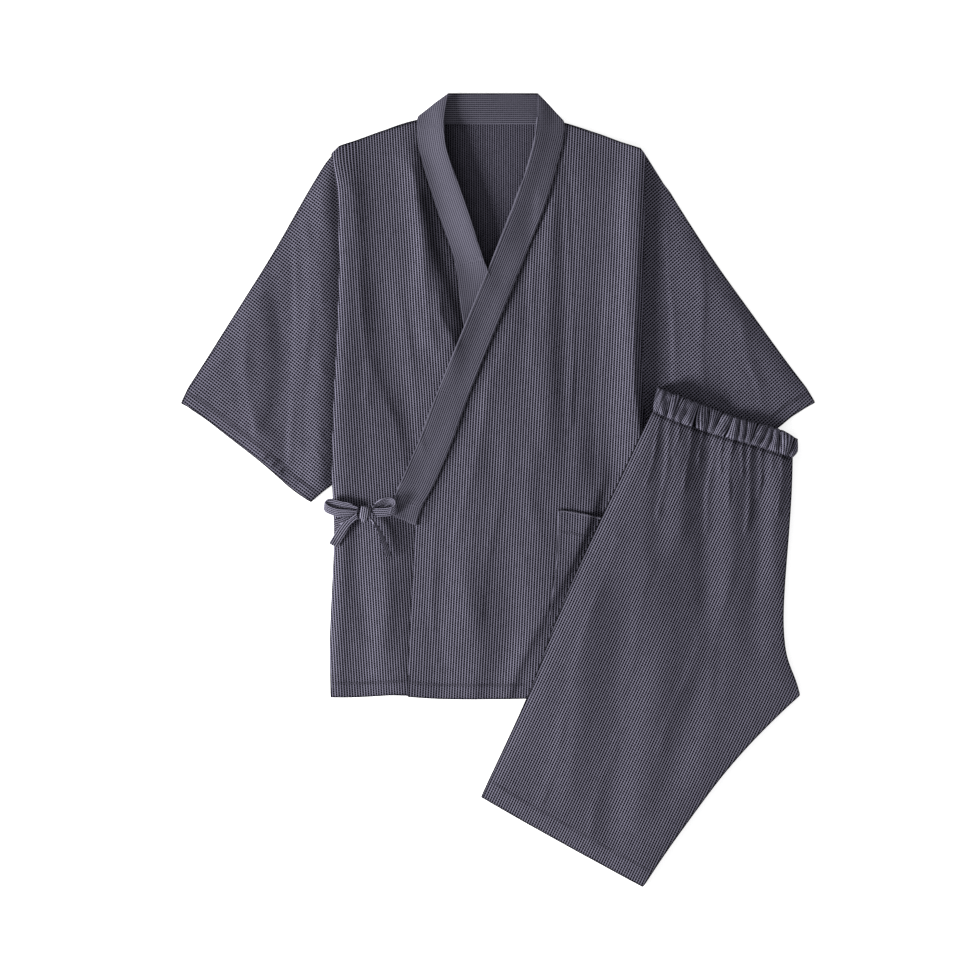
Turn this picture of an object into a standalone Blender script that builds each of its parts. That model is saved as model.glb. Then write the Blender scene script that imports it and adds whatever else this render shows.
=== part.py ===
# A jinbei set laid flat: a cross-over jacket with its tied bow, and shorts folded in half over its corner.
# Sizes are in millimetres and become metres where each mesh is made.
# X points to the viewer's right, Y to the collar, Z up from the surface that the set lies on.

import math
from collections import namedtuple

import bpy
import bmesh
from mathutils import Vector
from mathutils.bvhtree import BVHTree

# Driving sizes
CLOTH = 1.5             # wall of the ribbed cotton
BAND_CLOTH = 2.6        # the collar band is double cloth
RIBBON = 1.4            # the ties are a strip folded and stitched
GAP = 0.3               # air between one piece and the next
HEM_BAND = 20.0         # depth of the jacket's turned-up hem
CUFF_BAND = 16.0        # depth of the sleeve's turned-in end
SHORTS_HEM_BAND = 24.0  # depth of the shorts' turned-up hem
WELT = 28.0             # depth of the pocket's turned-in top
TURNED = 0.7            # how much thicker a turned-in edge is
HIDDEN_LAYERS = 3       # cloth layers of the folded shorts under the leg that shows
LAYER_PITCH = 3.0       # from one folded layer to the next
GATHERS = 15            # elastic gathers that show along the waistband
WAIST_DROP = 6.0        # how far the waistband's far edge lies below its near one

CLOTH_COLOURS = {
    "body": (0.088, 0.085, 0.112),
    "sleeve": (0.096, 0.093, 0.122),
    "collar": (0.080, 0.077, 0.103),
    "shorts": (0.074, 0.071, 0.094),
    "tie": (0.076, 0.073, 0.097),
}

# A soft ridge in the cloth, from one end of its crest to the other
Fold = namedtuple("Fold", "x1 y1 x2 y2 breadth rise")

# Edge lines of the pieces, each a short run of (x, y) points
SIDE_LEFT = [(-217, -270), (-218, -195), (-214, -110), (-212, -58), (-214, -13), (-215, 13),
             (-213, 107), (-209, 179), (-205, 292), (-207, 377), (-212, 442)]
SIDE_RIGHT = [(202, -270), (202, -195), (199, -110), (197, -58), (198, -13), (195, 52),
              (188, 107), (186, 179), (188, 292), (189, 377), (191, 441)]
BACK_SIDE_LEFT = [(-217, -270), (-218, -195), (-214, -110), (-212, -58), (-214, -22), (-205, -4),
                  (-196, 14), (-191, 40), (-190, 107), (-189, 250), (-189, 377), (-193, 449)]
BACK_SIDE_RIGHT = [(202, -270), (202, -195), (199, -110), (197, -58), (197, -22), (188, -4),
                   (180, 14), (175, 40), (172, 107), (171, 250), (172, 377), (177, 446)]
BACK_TOP = [(-193, 449), (-148, 467), (-105, 483), (-60, 485), (50, 485), (86, 478), (129, 463), (177, 446)]
BACK_HEM = [(-217, -270), (-121, -267), (-74, -271), (17, -271), (140, -270), (202, -270)]

RIGHT_FRONT_EDGE = [(103, -269), (98, -155), (94, -90), (90, -46), (88, -28), (80, -8), (51, 58),
                    (32, 114), (-3, 152), (-35, 196), (-48, 291), (-62, 331), (-79, 381), (-94, 431),
                    (-99, 465), (-98, 482)]
RIGHT_FRONT_TOP = [(-212, 442), (-191, 451), (-148, 467), (-98, 482)]
RIGHT_FRONT_HEM = [(-217, -270), (-179, -270), (-121, -266), (-74, -271), (17, -271), (103, -269)]
RIGHT_COLLAR_SEAM = [(90, -47), (83, -22), (73, -4), (44, 61), (25, 117), (-10, 156), (-42, 199),
                     (-55, 292), (-69, 334), (-86, 384), (-101, 434), (-107, 471), (-105, 484)]
RIGHT_COLLAR_FREE = [(118, -32), (110, 10), (88, 61), (67, 117), (29, 202), (-14, 286), (-41, 367),
                     (-68, 443), (-70, 474), (-69, 500), (-64, 515)]

LEFT_FRONT_EDGE = [(-118, -269), (-113, -155), (-110, -90), (-107, -50), (-108, -34), (-104, -22), (-95, -6),
                   (-67, 58), (-47, 114), (27, 297), (37, 323), (48, 348), (57, 375), (66, 409),
                   (75, 443), (80, 478)]
LEFT_FRONT_TOP = [(80, 478), (129, 463), (159, 452), (191, 441)]
LEFT_FRONT_HEM = [(-118, -269), (-74, -272), (17, -272), (81, -270), (140, -270), (202, -270)]
LEFT_COLLAR_SEAM = [(-106, -47), (-100, -23), (-88, -4), (-60, 61), (-40, 117), (34, 300), (44, 326),
                    (55, 351), (64, 378), (73, 411), (82, 445), (86, 461), (86, 478)]
LEFT_COLLAR_FREE = [(-142, -32), (-133, -4), (-104, 61), (-83, 117), (-14, 285), (4, 329), (20, 370),
                    (37, 417), (46, 450), (50, 484), (53, 505), (51, 515)]

SLEEVE_TOP_LEFT = [(-412, 112), (-407, 125), (-387, 156), (-348, 218), (-299, 296), (-254, 374),
                   (-226, 421), (-212, 442), (-194, 450)]
CUFF_LEFT = [(-243, -16), (-269, 1), (-307, 35), (-347, 66), (-395, 103), (-412, 112)]
ARMHOLE_LEFT = [(-204, 14), (-196, 40), (-192, 107), (-191, 250), (-191, 377), (-194, 450)]
UNDERARM_LEFT = [(-243, -16), (-225, 0), (-204, 14)]
SLEEVE_TOP_RIGHT = [(178, 447), (191, 441), (203, 421), (231, 374), (281, 296), (337, 218), (382, 156),
                    (406, 125), (412, 113)]
CUFF_RIGHT = [(228, -16), (254, 1), (291, 35), (322, 58), (363, 79), (382, 96), (412, 113)]
ARMHOLE_RIGHT = [(188, 14), (180, 40), (174, 107), (173, 250), (174, 377), (178, 447)]
UNDERARM_RIGHT = [(188, 14), (209, 0), (228, -16)]

POCKET_TOP = [(78, -27), (85, -26), (137, -36), (176, -42)]
POCKET_LEFT = [(66, -176), (65, -169), (70, -136), (77, -79), (77, -47), (78, -27)]
POCKET_FOOT = [(66, -176), (95, -182), (176, -194)]
POCKET_RIGHT = [(176, -194), (178, -120), (176, -42)]

SHORTS_SIDE = [(-22, -399), (41, -261), (78, -160), (120, -65), (156, 10), (202, 108)]
SHORTS_HEM = [(-22, -399), (30, -429), (109, -473), (188, -516)]
SHORTS_CROTCH = [(188, -516), (220, -468), (254, -421), (289, -374), (329, -328), (376, -281), (397, -261),
                 (389, -250), (380, -234), (374, -218), (372, -203), (370, -172), (373, -109), (377, -62),
                 (381, 0), (382, 47)]
SHORTS_WAIST = [(202, 108), (227, 97), (267, 83), (298, 74), (334, 64), (366, 54), (382, 47)]
WAIST_LOW = [(201, 103), (225, 91), (265, 77), (296, 68), (332, 58), (364, 48), (382, 42)]
WAIST_TOP = [(207, 133), (228, 125), (274, 107), (320, 91), (364, 79), (389, 66)]
WAIST_LEFT = [(201, 103), (202, 118), (207, 133)]
WAIST_RIGHT = [(382, 42), (389, 50), (389, 66)]

# Folds of each piece, as wide and as high as they lie in the photo. A valley has a negative rise.
RIGHT_FRONT_FOLDS = [
    Fold(-112, 420, -66, 176, 34, 8.5),
    Fold(-186, 390, -182, 200, 30, 2.5),
    Fold(-148, 250, -132, 120, 44, -4.0),
    Fold(-150, 120, -146, 40, 30, 3.5),
    Fold(-112, 110, -104, 60, 34, -6.0),
    Fold(-182, -40, -184, -260, 40, -5.0),
    Fold(-142, -60, -142, -262, 36, 7.5),
    Fold(-112, -40, -116, -200, 26, -6.0),
]
LEFT_FRONT_FOLDS = [
    Fold(46, 420, 30, 150, 40, -3.0),
    Fold(68, 400, 62, 60, 26, 3.5),
    Fold(88, 410, 88, 20, 22, -3.5),
    Fold(132, 230, 136, 60, 60, -3.0),
    Fold(172, 380, 172, 120, 34, 3.0),
    Fold(-40, 120, -6, 30, 40, -3.0),
    Fold(-26, 60, -40, -180, 30, 3.5),
    Fold(12, -110, 14, -268, 46, -5.0),
    Fold(-76, -60, -82, -262, 36, -2.5),
    Fold(140, 20, 100, -120, 70, -5.0),
]
SLEEVE_LEFT_FOLDS = [
    Fold(-262, 330, -272, 20, 44, -5.5),
    Fold(-228, 380, -233, 20, 30, 7.5),
    Fold(-312, 240, -306, 70, 44, 3.5),
    Fold(-362, 160, -344, 95, 34, 1.5),
]
SLEEVE_RIGHT_FOLDS = [
    Fold(212, 400, 216, 90, 44, -4.0),
    Fold(262, 300, 266, 120, 44, 2.0),
    Fold(302, 262, 322, 130, 50, 3.5),
    Fold(362, 160, 366, 110, 30, 2.0),
]
SHORTS_FOLDS = [
    Fold(190, 80, 146, -20, 22, 2.5),
    Fold(214, 100, 206, -76, 20, -5.0),
    Fold(240, 80, 236, -60, 24, 5.5),
    Fold(272, 74, 268, -140, 20, -5.5),
    Fold(304, 62, 300, -180, 28, 5.5),
    Fold(342, 60, 336, -200, 20, -5.0),
    Fold(362, 50, 358, -120, 16, 4.0),
    Fold(122, -150, 92, -380, 44, 4.5),
    Fold(164, -180, 146, -440, 36, -4.0),
    Fold(214, -230, 182, -420, 44, 4.0),
    Fold(258, -260, 226, -380, 34, -2.5),
    Fold(300, -240, 262, -350, 34, 2.5),
]
LOFT = 7.0              # how far the two fronts stand off what is below them
SLEEVE_LOFT = 5.0
SHORTS_LOFT = 4.5
COLLAR_TILT = 13.0      # how far the collar's free edge stands above its seam

# Rails of the bow's ribbons: the edge on the cloth, the edge that stands up,
# and how high both are above the cloth
Rail = namedtuple("Rail", "x y height x_up y_up height_up")
LOOP_LEFT = [
    Rail(-181.5, -27.5, 1.0, -181.5, -22.5, 7.0),
    Rail(-190, -26, 0.8, -190, -18.5, 8.5),
    Rail(-200, -25, 0.8, -201, -15.5, 9.3),
    Rail(-210, -24, 0.8, -211, -12.6, 9.8),
    Rail(-216.5, -23.4, 0.8, -218, -11.6, 10.0),
    Rail(-221.5, -22.8, 0.8, -223, -13.5, 10.0),
    Rail(-225.6, -24.4, 0.8, -224.6, -16.8, 9.6),
    Rail(-225.2, -28, 0.8, -221, -20.4, 9.2),
    Rail(-219, -31.5, 0.8, -214, -23.6, 8.6),
    Rail(-209, -34.6, 0.8, -207, -25.6, 8.2),
    Rail(-198, -35.2, 0.8, -197, -26.2, 7.8),
    Rail(-189, -34.4, 1.0, -188, -26.4, 7.2),
    Rail(-182.5, -32.8, 1.2, -182, -26.0, 6.4),
]
LOOP_RIGHT = [
    Rail(-163.2, -27.5, 1.0, -162.8, -21.5, 7.0),
    Rail(-158, -24, 0.8, -157.5, -16.5, 8.6),
    Rail(-151, -20.5, 0.8, -150.5, -12.0, 9.6),
    Rail(-144, -18.6, 0.8, -143.5, -9.4, 10.0),
    Rail(-138.5, -18.8, 0.8, -138, -10.2, 10.0),
    Rail(-134, -21.5, 0.8, -133.8, -14.0, 10.0),
    Rail(-130.4, -26, 0.8, -133.4, -18.6, 9.4),
    Rail(-132.5, -30.8, 0.8, -137, -21.4, 8.6),
    Rail(-140, -34.2, 0.8, -142, -22.8, 8.0),
    Rail(-149, -35, 0.8, -150, -23.6, 7.6),
    Rail(-157, -34.6, 1.0, -157.5, -24.4, 7.0),
    Rail(-162.5, -33, 1.2, -162.4, -25.2, 6.2),
]
TAIL_LEFT = [
    Rail(-183.5, -30.5, 8.2, -181.5, -36.5, 6.4),
    Rail(-190, -33.6, 6.6, -186, -40.5, 4.4),
    Rail(-197.5, -39, 4.2, -190.5, -46.0, 2.8),
    Rail(-205, -47.5, 2.6, -195.8, -54.0, 1.8),
    Rail(-211.5, -56.5, 1.8, -201, -63.0, 1.2),
    Rail(-219.4, -69.8, 2.2, -209, -75.4, 1.2),
]
TAIL_RIGHT = [
    Rail(-163.5, -38, 1.6, -166.5, -36.4, 5.5),
    Rail(-157, -45.5, 0.8, -161, -44.0, 8.2),
    Rail(-150.6, -56, 0.8, -156.2, -54.0, 8.8),
    Rail(-145.2, -67, 0.8, -151.6, -67.0, 8.2),
    Rail(-140.4, -79, 0.8, -147.6, -79.5, 6.6),
    Rail(-137.8, -88, 0.8, -146, -87.0, 4.4),
]
TIE_SIDE = [
    Rail(-213, -55, 0.6, -213, -38, 0.8),
    Rail(-205, -51, 0.8, -204, -37, 1.2),
    Rail(-196, -45, 0.8, -196, -35, 1.4),
    Rail(-186, -40, 0.8, -186, -31, 1.6),
    Rail(-178, -38, 0.8, -178, -30, 1.6),
]
TIE_COLLAR = [
    Rail(-134, -19, 0.8, -131, -9, 1.2),
    Rail(-145, -25, 0.8, -144, -15, 1.4),
    Rail(-155, -28, 0.8, -155, -19, 1.6),
    Rail(-166, -31, 0.8, -166, -22, 1.6),
]
KNOT_CENTRE = (-172.6, -31.8)
KNOT_SIZE = (14.5, 21.5, 10.5)  # across, along and up
KNOT_TURN = math.radians(-9)

parts = bpy.data.collections.new("Jinbei_Set")
laid = []  # search trees of the pieces already on the surface


def clear_scene():
    for thing in list(bpy.data.objects):
        bpy.data.objects.remove(thing, do_unlink=True)
    bpy.context.scene.collection.children.link(parts)


def cloth_material(name, colour):
    material = bpy.data.materials.new(name)
    material.use_nodes = True
    shader = material.node_tree.nodes["Principled BSDF"]
    shader.inputs["Base Color"].default_value = (*colour, 1)
    shader.inputs["Roughness"].default_value = 0.9
    shader.inputs["Metallic"].default_value = 0.0
    return material


def soft_line(points, share=6):
    """A smooth line through the points, with its length up to each of its steps."""
    steps = []
    last = len(points) - 1
    for i in range(last):
        a = Vector(points[max(i - 1, 0)])
        b = Vector(points[i])
        c = Vector(points[i + 1])
        d = Vector(points[min(i + 2, last)])
        for k in range(share):
            t = k / share
            ahead = (c - a) * 0.5 * min(1, (c - b).length / max((c - a).length * 0.5, 1e-6))
            behind = (d - b) * 0.5 * min(1, (c - b).length / max((d - b).length * 0.5, 1e-6))
            steps.append(b * (2 * t**3 - 3 * t**2 + 1) + ahead * (t**3 - 2 * t**2 + t)
                         + c * (3 * t**2 - 2 * t**3) + behind * (t**3 - t**2))
    steps.append(Vector(points[last]))
    run = [0.0]
    for p, q in zip(steps, steps[1:]):
        run.append(run[-1] + (q - p).length)
    return steps, run


def place_on(line, share):
    """The place that lies at a share of a line's length."""
    steps, run = line
    target = share * run[-1]
    for i in range(len(steps) - 1):
        if run[i + 1] >= target - 1e-9:
            part = (target - run[i]) / max(run[i + 1] - run[i], 1e-9)
            return steps[i].lerp(steps[i + 1], part)
    return steps[-1]


def shares(count, *extra):
    """Even shares from 0 to 1 with some more lines between, where a band or a rolled edge needs them."""
    even = [i / count for i in range(count + 1)]
    kept = [s for s in even if s in (0.0, 1.0) or min([abs(s - e) for e in extra] or [1]) > 0.35 / count]
    return sorted(kept + list(extra))


def patch(low, high, left, right, across, along):
    """Rows of places between four edge lines. Low and high run to the right, left and right run upwards."""
    low, high, left, right = (soft_line(edge) for edge in (low, high, left, right))
    rows = []
    for v in along:
        start = place_on(left, v)
        end = place_on(right, v)
        row = []
        for u in across:
            foot = place_on(low, u)
            head = place_on(high, u)
            corners = ((1 - u) * (1 - v) * place_on(low, 0) + u * (1 - v) * place_on(low, 1)
                       + (1 - u) * v * place_on(high, 0) + u * v * place_on(high, 1))
            row.append((1 - v) * foot + v * head + (1 - u) * start + u * end - corners)
        rows.append(row)
    return rows


def height_of_laid(x, y, reach):
    """The highest point within reach of a place on what is already laid, or the bare surface."""
    top = 0.0
    for ring in (0.0, 0.35, 0.7, 1.0):
        for k in range(1 if ring == 0 else 12):
            angle = math.tau * (k + ring) / 12
            start = Vector((x + reach * ring * math.cos(angle), y + reach * ring * math.sin(angle), 200.0))
            for tree in laid:
                hit = tree.ray_cast(start, Vector((0, 0, -1)))[0]
                if hit is not None and hit.z + GAP > top:
                    top = hit.z + GAP
    return top


def resting_heights(rows, reach, passes=6):
    """Heights of a cloth that lies on what is below it and spans softly from step to step."""
    rest = [[height_of_laid(p.x, p.y, reach) for p in row] for row in rows]
    lie = [list(row) for row in rest]
    for _ in range(passes):
        before = [list(row) for row in lie]
        for j, row in enumerate(before):
            for i in range(len(row)):
                near = []
                for dj, di in ((-1, 0), (1, 0), (0, -1), (0, 1)):
                    if 0 <= j + dj < len(before) and 0 <= i + di < len(row):
                        near.append(before[j + dj][i + di])
                lie[j][i] = max(rest[j][i], sum(near) / len(near) - 0.12)
    return lie


def fold_height(folds, x, y):
    total = 0.0
    for fold in folds:
        dx = fold.x2 - fold.x1
        dy = fold.y2 - fold.y1
        length = math.hypot(dx, dy)
        along = ((x - fold.x1) * dx + (y - fold.y1) * dy) / length
        across = ((x - fold.x1) * dy - (y - fold.y1) * dx) / length
        past = max(0.0, -along, along - length)
        away = math.hypot(across / (0.5 * fold.breadth), past / (0.9 * fold.breadth))
        total += fold.rise * math.exp(-2 * away * away)
    return total


def add_object(name, mesh, colour):
    thing = bpy.data.objects.new(name, mesh)
    parts.objects.link(thing)
    mesh.materials.append(cloth_material(name, CLOTH_COLOURS[colour]))
    return thing


def remember(thing):
    """Lets the pieces that come later lie on this one."""
    points = solid_points(thing)
    solid = thing.evaluated_get(bpy.context.evaluated_depsgraph_get())
    faces = [tuple(f.vertices) for f in solid.data.polygons]
    laid.append(BVHTree.FromPolygons(points, faces))


def solid_points(thing):
    bpy.context.view_layer.update()
    solid = thing.evaluated_get(bpy.context.evaluated_depsgraph_get())
    return [v.co * 1000 for v in solid.data.vertices]


def seat(thing, reach):
    """Lowers a small piece, or lifts it, until it just clears what it lies on."""
    clear = min(p.z - height_of_laid(p.x, p.y, reach) for p in solid_points(thing))
    for vert in thing.data.vertices:
        vert.co.z -= clear / 1000


def grid_mesh(name, rows, heights):
    """A sheet of quads with its face up, made from Blender's grid."""
    deep = len(rows)
    wide = len(rows[0])
    mesh = bpy.data.meshes.new(name)
    bm = bmesh.new()
    bmesh.ops.create_grid(bm, x_segments=wide - 1, y_segments=deep - 1, size=1)
    bm.verts.ensure_lookup_table()
    for n, vert in enumerate(bm.verts):
        j, i = divmod(n, wide)
        vert.co = Vector((rows[j][i].x, rows[j][i].y, heights[j][i])) / 1000
    bmesh.ops.recalc_face_normals(bm, faces=bm.faces)
    if sum(face.normal.z for face in bm.faces) < 0:
        bmesh.ops.reverse_faces(bm, faces=bm.faces)
    bm.to_mesh(mesh)
    bm.free()
    return mesh


def sheet(name, colour, rows, heights, wall=CLOTH, turned=()):
    """A panel: a grid given its wall upwards, thicker at the places where its edge is turned in."""
    thing = add_object(name, grid_mesh(name, rows, heights), colour)
    solidify = thing.modifiers.new("Wall", "SOLIDIFY")
    solidify.offset = 1
    solidify.use_even_offset = False
    solidify.thickness = wall / 1000
    if turned:
        group = thing.vertex_groups.new(name="turned")
        wide = len(rows[0])
        group.add([j * wide + i for j, i in turned], 1.0, "REPLACE")
        solidify.thickness = (wall + TURNED) / 1000
        solidify.vertex_group = "turned"
        solidify.thickness_vertex_group = wall / (wall + TURNED)
    thing.modifiers.new("Triangles", "TRIANGULATE")
    remember(thing)
    return thing


def edge_ease(share_in, width_mm, length_mm):
    """0 on an edge, rising to 1 at a distance from it."""
    t = min(1.0, max(0.0, share_in * length_mm / width_mm))
    return t * t * (3 - 2 * t)


def make_back():
    across = shares(10)
    along = shares(12, HEM_BAND / 740, (HEM_BAND + 2) / 740)
    rows = patch(BACK_HEM, BACK_TOP, BACK_SIDE_LEFT, BACK_SIDE_RIGHT, across, along)
    heights = [[0.0 for _ in row] for row in rows]
    turned = [(j, i) for j in range(len(along)) for i in range(len(across))
              if along[j] <= HEM_BAND / 740 + 1e-6]
    sheet("jacket_back", "body", rows, heights, turned=turned)


def make_back_collar():
    across = shares(12)
    along = shares(4)
    rows = patch([(-76, 475), (58, 475)], [(-66, 515), (51, 515)], [(-76, 475), (-73, 495), (-66, 515)],
                 [(58, 475), (57, 495), (51, 515)], across, along)
    heights = resting_heights(rows, 3.0, passes=2)
    for j, v in enumerate(along):
        for i, u in enumerate(across):
            heights[j][i] += 1.2 * math.sin(math.pi * v)
    sheet("collar_back", "collar", rows, heights, BAND_CLOTH)


def make_sleeve(side, low, high, left, right, folds, cuff_at):
    """Both layers of one sleeve, folded at its top edge."""
    even = shares(6)
    rows = patch(low, high, left, right, even, even)
    under = [[0.0 for _ in row] for row in rows]
    sheet("sleeve_" + side + "_lower", "sleeve", rows, under)
    band = CUFF_BAND / 300
    if cuff_at == 0:
        across = shares(14, band, band + 0.008)
    else:
        across = shares(14, 1 - band, 1 - band - 0.008)
    along = shares(15)
    rows = patch(low, high, left, right, across, along)
    heights = resting_heights(rows, 6.0, passes=2)
    for j, v in enumerate(along):
        for i, u in enumerate(across):
            place = rows[j][i]
            from_cuff = u if cuff_at == 0 else 1 - u
            ease = edge_ease(1 - v, 20, 420) * edge_ease(v, 30, 420)
            ease *= 0.35 + 0.65 * edge_ease(from_cuff, 30, 320)
            heights[j][i] += ease * max(0, SLEEVE_LOFT + fold_height(folds, place.x, place.y))
    turned = [(j, i) for j in range(len(along)) for i in range(len(across))
              if abs(across[i] - cuff_at) <= band + 1e-6]
    sheet("sleeve_" + side + "_upper", "sleeve", rows, heights, turned=turned)


def make_front(name, hem, top, left, right, across, folds, rolled, seam_rest, side_rise):
    """A front panel. Its side edge is rolled and its hem is turned up."""
    along = shares(26, HEM_BAND / 740, (HEM_BAND + 2) / 740)
    rows = patch(hem, top, left, right, across, along)
    heights = resting_heights(rows, 9.0)
    for j, v in enumerate(along):
        for i, u in enumerate(across):
            place = rows[j][i]
            from_side = abs(u - rolled)
            from_seam = 1 - from_side
            side = edge_ease(from_side, 10, 330)
            hem_rise = 0.3 + 0.7 * edge_ease(v, 60, 740)
            shoulder = 0.35 + 0.65 * edge_ease(1 - v, 70, 740)
            seam = seam_rest + (1 - seam_rest) * edge_ease(from_seam, 40, 330)
            lift = side_rise * (1 - edge_ease(from_side - 0.03, 60, 330)) * (1 - abs(2 * v - 1.2) * 0.6)
            puff = LOFT * hem_rise * shoulder * seam + max(0, lift)
            ends = edge_ease(v + 0.012, 24, 740) * edge_ease(1 - v + 0.01, 26, 740)
            folds_here = fold_height(folds, place.x, place.y) * (0.45 + 0.55 * ends)
            heights[j][i] += side * max(0, puff + folds_here)
    turned = [(j, i) for j in range(len(along)) for i in range(len(across))
              if along[j] <= HEM_BAND / 740 + 1e-6]
    sheet(name, "body", rows, heights, turned=turned)


def make_collar(name, low, high, left, right, count, free_at):
    """A run of the double collar band, over the edge that it is sewn to. Its free edge stands up."""
    across = shares(5, 0.06, 0.94)
    along = shares(count)
    rows = patch(low, high, left, right, across, along)
    heights = resting_heights(rows, 4.0, passes=2)
    for j, v in enumerate(along):
        for i, u in enumerate(across):
            from_seam = u if free_at == 1 else 1 - u
            y = rows[j][i].y
            stands = edge_ease((y - 262) / 80, 1, 1) * (0.35 + 0.65 * edge_ease((500 - y) / 60, 1, 1))
            low_run = 0.28 * edge_ease((300 - y) / 60, 1, 1)
            rise = min(1, from_seam * 1.12) - 0.5 * max(0, from_seam - 0.9)
            heights[j][i] += COLLAR_TILT * max(stands, low_run) * rise + 0.9 * math.sin(math.pi * u)
    sheet(name, "collar", rows, heights, BAND_CLOTH)


def make_pocket():
    across = shares(8)
    along = shares(9, 1 - WELT / 148, 1 - (WELT + 2) / 148)
    rows = patch(POCKET_FOOT, POCKET_TOP, POCKET_LEFT, POCKET_RIGHT, across, along)
    heights = resting_heights(rows, 4.5, passes=1)
    for j, v in enumerate(along):
        for i, u in enumerate(across):
            heights[j][i] += 1.2 * math.sin(math.pi * u) * edge_ease(v, 30, 148)
    turned = [(j, i) for j in range(len(along)) for i in range(len(across))
              if along[j] >= 1 - WELT / 148 - 1e-6]
    sheet("pocket", "body", rows, heights, turned=turned)


def make_ribbon(name, rails, steps):
    """A strip of the tie between its two edges, standing on the cloth below by the heights of its rails."""
    edge_a = [(rail.x, rail.y) for rail in rails]
    edge_b = [(rail.x_up, rail.y_up) for rail in rails]
    line_a = soft_line(edge_a)
    line_b = soft_line(edge_b)
    ground = height_of_laid(KNOT_CENTRE[0], KNOT_CENTRE[1], 4.0)
    rows = []
    heights = []
    for k in range(steps + 1):
        share = k / steps
        place = share * (len(rails) - 1)
        n = min(int(place), len(rails) - 2)
        part = place - n
        low = rails[n].height * (1 - part) + rails[n + 1].height * part
        high = rails[n].height_up * (1 - part) + rails[n + 1].height_up * part
        a = place_on(line_a, share)
        b = place_on(line_b, share)
        rows.append([a, a.lerp(b, 0.5), b])
        heights.append([ground + low, ground + 0.5 * (low + high) + 0.3, ground + high])
    mesh = grid_mesh(name, rows, heights)
    thing = add_object(name, mesh, "tie")
    solidify = thing.modifiers.new("Wall", "SOLIDIFY")
    solidify.offset = 0
    solidify.thickness = RIBBON / 1000
    thing.modifiers.new("Triangles", "TRIANGULATE")
    seat(thing, 0.7)
    return thing


def make_knot():
    """The knot: a strip drawn tight round the ribbons, as a rounded block with a waist at its foot."""
    ground = height_of_laid(KNOT_CENTRE[0], KNOT_CENTRE[1], 4.0)
    mesh = bpy.data.meshes.new("bow_knot")
    bm = bmesh.new()
    bmesh.ops.create_cube(bm, size=1)
    bmesh.ops.subdivide_edges(bm, edges=bm.edges, cuts=3, use_grid_fill=True)
    for vert in bm.verts:
        p = vert.co * 2
        rounded = Vector((p.x * math.sqrt(1 - p.y**2 / 6 - p.z**2 / 3),
                          p.y * math.sqrt(1 - p.x**2 / 6 - p.z**2 / 4),
                          p.z * math.sqrt(1 - p.x**2 / 3 - p.y**2 / 5)))
        narrow = 1 - 0.42 * max(0, -p.y) ** 1.5
        x = rounded.x * KNOT_SIZE[0] / 2 * narrow
        y = rounded.y * KNOT_SIZE[1] / 2
        z = rounded.z * KNOT_SIZE[2] / 2
        turned_x = x * math.cos(KNOT_TURN) - y * math.sin(KNOT_TURN)
        turned_y = x * math.sin(KNOT_TURN) + y * math.cos(KNOT_TURN)
        middle = Vector((KNOT_CENTRE[0], KNOT_CENTRE[1], ground + KNOT_SIZE[2] / 2))
        vert.co = (middle + Vector((turned_x, turned_y, z))) / 1000
    bm.to_mesh(mesh)
    bm.free()
    thing = add_object("bow_knot", mesh, "tie")
    seat(thing, 1.5)


def slab(name, colour, rows, under, over, rim, inset):
    """A closed solid between two heights. Its rim steps in and out, with a round edge for each layer."""
    deep = len(rows)
    wide = len(rows[0])
    border = [(0, i) for i in range(wide)] + [(j, wide - 1) for j in range(1, deep)]
    border += [(deep - 1, i) for i in range(wide - 2, -1, -1)] + [(j, 0) for j in range(deep - 2, 0, -1)]
    outward = {}
    for n, (j, i) in enumerate(border):
        before = rows[border[n - 1][0]][border[n - 1][1]]
        after_index = border[(n + 1) % len(border)]
        after = rows[after_index[0]][after_index[1]]
        run = (after - before).normalized()
        outward[(j, i)] = Vector((run.y, -run.x))
    bm = bmesh.new()

    def at(j, i, z, out):
        p = rows[j][i] + outward.get((j, i), Vector((0, 0))) * out
        return bm.verts.new(Vector((p.x, p.y, z)) / 1000)

    bottom = [[at(j, i, under[j][i], -inset) for i in range(wide)] for j in range(deep)]
    top = [[at(j, i, over[j][i], -inset) for i in range(wide)] for j in range(deep)]
    for j in range(deep - 1):
        for i in range(wide - 1):
            bm.faces.new((top[j][i], top[j][i + 1], top[j + 1][i + 1], top[j + 1][i]))
            bm.faces.new((bottom[j][i], bottom[j + 1][i], bottom[j + 1][i + 1], bottom[j][i + 1]))
    rings = [[bottom[j][i] for j, i in border]]
    for level, out in rim:
        rings.append([at(j, i, under[j][i] + level * (over[j][i] - under[j][i]), out) for j, i in border])
    rings.append([top[j][i] for j, i in border])
    for lower, upper in zip(rings, rings[1:]):
        for n in range(len(border)):
            m = (n + 1) % len(border)
            bm.faces.new((lower[n], lower[m], upper[m], upper[n]))
    bmesh.ops.recalc_face_normals(bm, faces=bm.faces)
    mesh = bpy.data.meshes.new(name)
    bm.to_mesh(mesh)
    bm.free()
    thing = add_object(name, mesh, colour)
    thing.modifiers.new("Triangles", "TRIANGULATE")
    remember(thing)


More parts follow.
